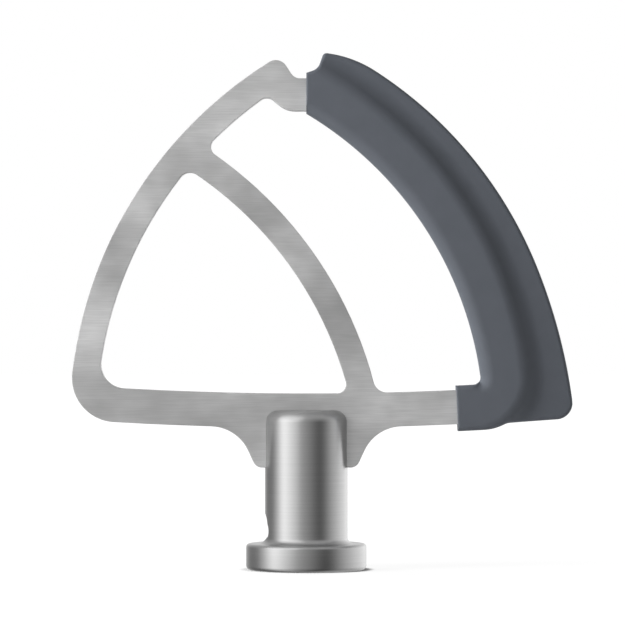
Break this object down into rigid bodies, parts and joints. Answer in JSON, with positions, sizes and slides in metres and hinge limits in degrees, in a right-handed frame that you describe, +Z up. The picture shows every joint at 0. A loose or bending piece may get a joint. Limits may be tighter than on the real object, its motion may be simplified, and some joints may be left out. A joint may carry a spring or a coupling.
{
  "type": "stand mixer flat beater",
  "caption": "Flat beater for a stand mixer: brushed steel plate with an arched outline and curved brace, silicone wiping edge on one side, turned hub with a bayonet socket.",
  "frame": {"origin": "on the hub's axis, at the mouth of its bore in the flange's face", "axes": "+Z up the hub's axis, +X towards the flexible edge, +Y through the plate to the side of the bayonet slot's mouth"},
  "size_m": [0.1539, 0.0367, 0.1587],
  "materials": {
    "frame_steel": "brushed along the crossbar",
    "hub_steel": "fine turned",
    "edge_silicone": "matte moulded"
  },
  "bodies": {
    "root": {"blade_frame": "frame_steel", "drive_hub": "hub_steel", "flex_edge": "edge_silicone"}
  },
  "joints": []
}
